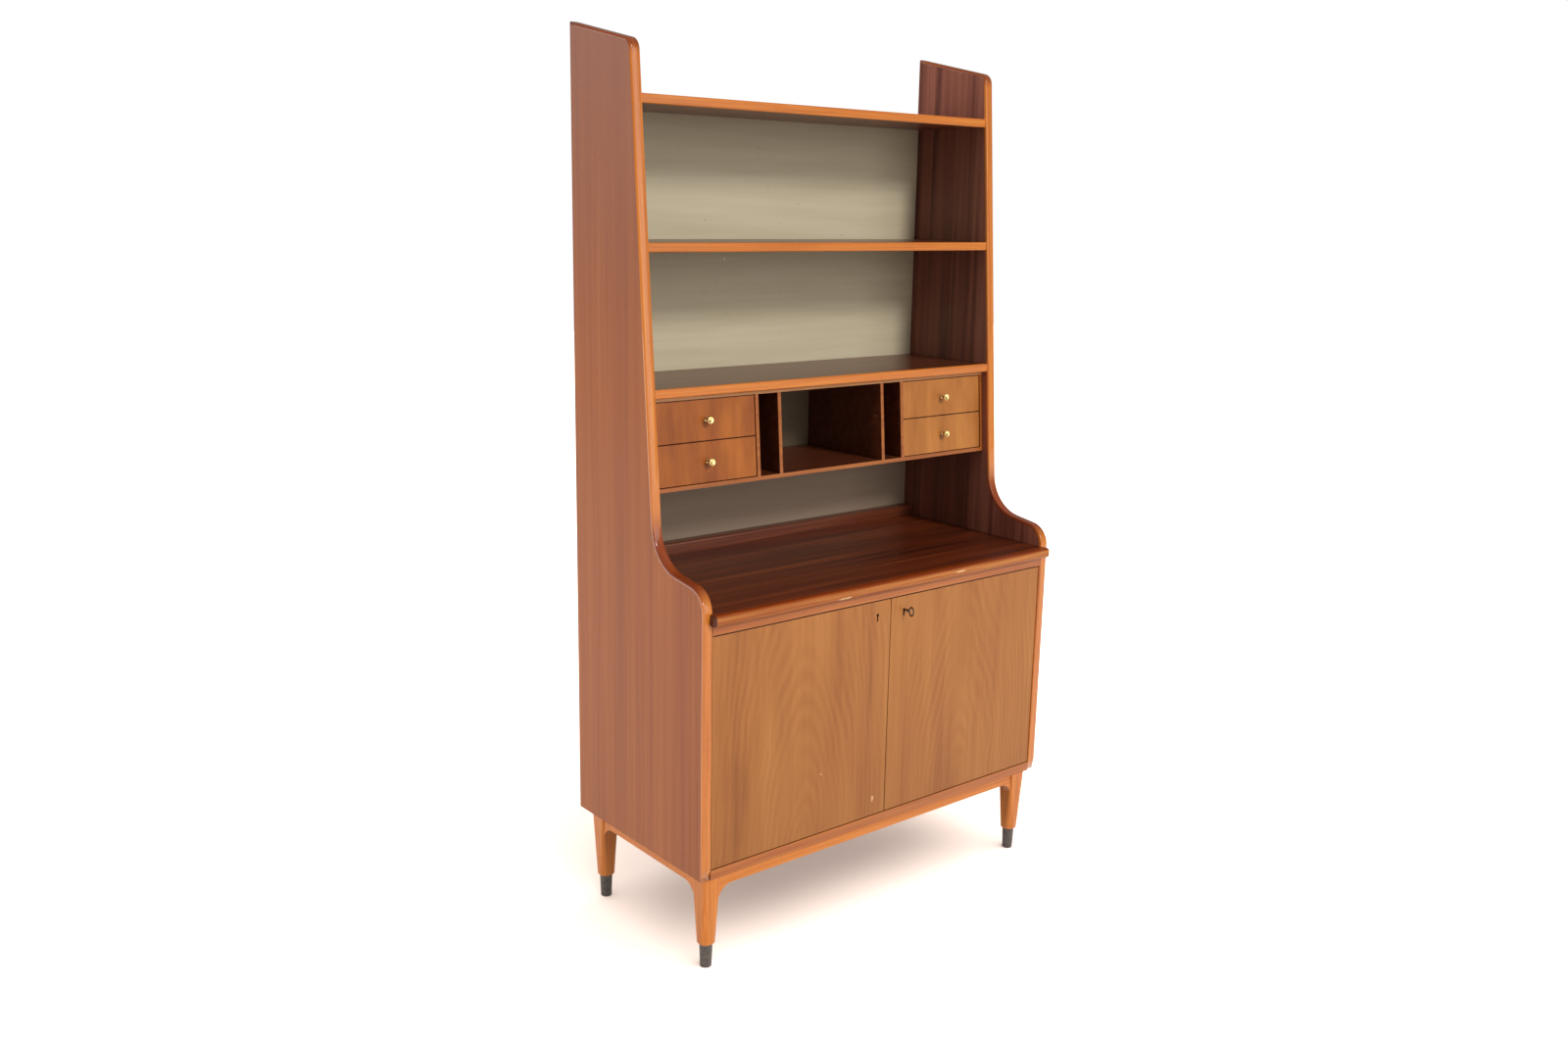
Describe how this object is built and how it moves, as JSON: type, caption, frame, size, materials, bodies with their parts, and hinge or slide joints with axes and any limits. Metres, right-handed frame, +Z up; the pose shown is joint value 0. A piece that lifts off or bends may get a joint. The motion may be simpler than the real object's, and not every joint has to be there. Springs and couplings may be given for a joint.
{
  "type": "secretary desk",
  "caption": "Tall secretary desk: slanted-side bookcase with pigeonholes and small drawers over a pull-out writing board and a two-door cupboard on tapered legs.",
  "frame": {"origin": "on the floor, below the middle of the overall box", "axes": "+Z up, the front with the doors faces -Y, +X to the right seen from the front"},
  "size_m": [0.95, 0.4724, 1.8],
  "materials": {
    "side_veneer": "satin lacquered ribbon-stripe mahogany veneer, reddish brown, grain upright",
    "shelf_veneer": "satin lacquered dark red-brown veneer, grain along the width",
    "unit_veneer": "satin lacquered dark red-brown boards with light front edges",
    "writing_veneer": "glossy lacquered dark red-brown veneer, grain along the width",
    "writing_edge": "worn lacquered solid wood edge",
    "solid_lipping": "satin lacquered orange-brown solid wood",
    "leg_wood": "satin lacquered orange-brown solid wood",
    "door_veneer": "satin teak veneer, flame figure, grain upright",
    "drawer_veneer": "satin teak veneer, grain upright",
    "back_board": "matte grey-beige painted hardboard",
    "plywood": "plain unfinished light plywood",
    "brass": "polished pale brass",
    "key_metal": "dark tarnished steel",
    "ferrule_metal": "black satin painted metal",
    "steel": "plain zinc-plated steel"
  },
  "bodies": {
    "carcass": {"back_sheet_lower": "back_board", "back_sheet_nails": "steel", "back_sheet_upper": "back_board", "base_rail_back": "solid_lipping", "base_rail_front": "solid_lipping", "base_rail_left": "solid_lipping", "base_rail_right": "solid_lipping", "cabinet_bottom": "shelf_veneer", "cabinet_shelf": "shelf_veneer", "cabinet_shelf_pins": "brass", "cabinet_top": "shelf_veneer", "dividers_inner": "unit_veneer", "dividers_outer": "unit_veneer", "door_stops": "plywood", "dust_boards": "plywood", "ferrules": "ferrule_metal", "fixed_pivot_plates": "brass", "leg_back_left": "leg_wood", "leg_back_right": "leg_wood", "leg_front_left": "leg_wood", "leg_front_right": "leg_wood", "pigeonhole_pegs": "brass", "shelf_lipping_lower": "solid_lipping", "shelf_lipping_middle": "solid_lipping", "shelf_lipping_top": "solid_lipping", "shelf_lower": "shelf_veneer", "shelf_middle": "shelf_veneer", "shelf_top": "shelf_veneer", "side_lipping_left": "solid_lipping", "side_lipping_right": "solid_lipping", "side_panel_left": "side_veneer", "side_panel_right": "side_veneer", "unit_bottom": "unit_veneer", "unit_ends": "unit_veneer", "unit_top": "unit_veneer", "writing_batten": "solid_lipping"},
    "writing_board": {"writing_board": "writing_veneer", "writing_lipping": "writing_edge"},
    "drawer_upper_left": {"drawer_upper_left_front": "drawer_veneer", "drawer_upper_left_box": "plywood", "drawer_upper_left_knob": "brass"},
    "drawer_lower_left": {"drawer_lower_left_front": "drawer_veneer", "drawer_lower_left_box": "plywood", "drawer_lower_left_knob": "brass"},
    "drawer_upper_right": {"drawer_upper_right_front": "drawer_veneer", "drawer_upper_right_box": "plywood", "drawer_upper_right_knob": "brass"},
    "drawer_lower_right": {"drawer_lower_right_front": "drawer_veneer", "drawer_lower_right_box": "plywood", "drawer_lower_right_knob": "brass"},
    "door_left": {"door_left": "door_veneer", "door_left_pivot_plates": "brass", "lock_case_left": "steel"},
    "bolt_left": {"lock_bolt_left": "brass"},
    "door_right": {"door_right": "door_veneer", "door_right_pivot_plates": "brass", "lock_case_right": "steel"},
    "bolt_right": {"lock_bolt_right": "brass"},
    "key": {"key": "key_metal"}
  },
  "joints": [
    {"name": "writing_board_slide", "type": "slide", "parent": "carcass", "child": "writing_board", "axis": [0, -1, 0], "range_m": [0, 0.2]},
    {"name": "drawer_upper_left_slide", "type": "slide", "parent": "carcass", "child": "drawer_upper_left", "axis": [0, -1, 0], "range_m": [0, 0.15]},
    {"name": "drawer_lower_left_slide", "type": "slide", "parent": "carcass", "child": "drawer_lower_left", "axis": [0, -1, 0], "range_m": [0, 0.15]},
    {"name": "drawer_upper_right_slide", "type": "slide", "parent": "carcass", "child": "drawer_upper_right", "axis": [0, -1, 0], "range_m": [0, 0.15]},
    {"name": "drawer_lower_right_slide", "type": "slide", "parent": "carcass", "child": "drawer_lower_right", "axis": [0, -1, 0], "range_m": [0, 0.15]},
    {"name": "door_left_hinge", "type": "hinge", "parent": "carcass", "child": "door_left", "pos_m": [-0.44975, -0.20225, 0.4545], "axis": [0, 0, -1], "range_deg": [0, 92]},
    {"name": "door_right_hinge", "type": "hinge", "parent": "carcass", "child": "door_right", "pos_m": [0.44975, -0.20225, 0.4545], "axis": [0, 0, 1], "range_deg": [0, 92]},
    {"name": "bolt_left_slide", "type": "slide", "parent": "door_left", "child": "bolt_left", "axis": [0, 0, 1], "range_m": [0, 0.008]},
    {"name": "key_turn", "type": "hinge", "parent": "door_right", "child": "key", "pos_m": [0.037, -0.2015, 0.657], "axis": [0, 1, 0], "range_deg": [0, 90]},
    {"name": "bolt_right_slide", "type": "slide", "parent": "door_right", "child": "bolt_right", "axis": [0, 0, 1], "range_m": [0, 0.008]}
  ],
  "couplings": [
    {"joint": "bolt_right_slide", "follows": "key_turn", "m_per_rad": 0.00509}
  ]
}
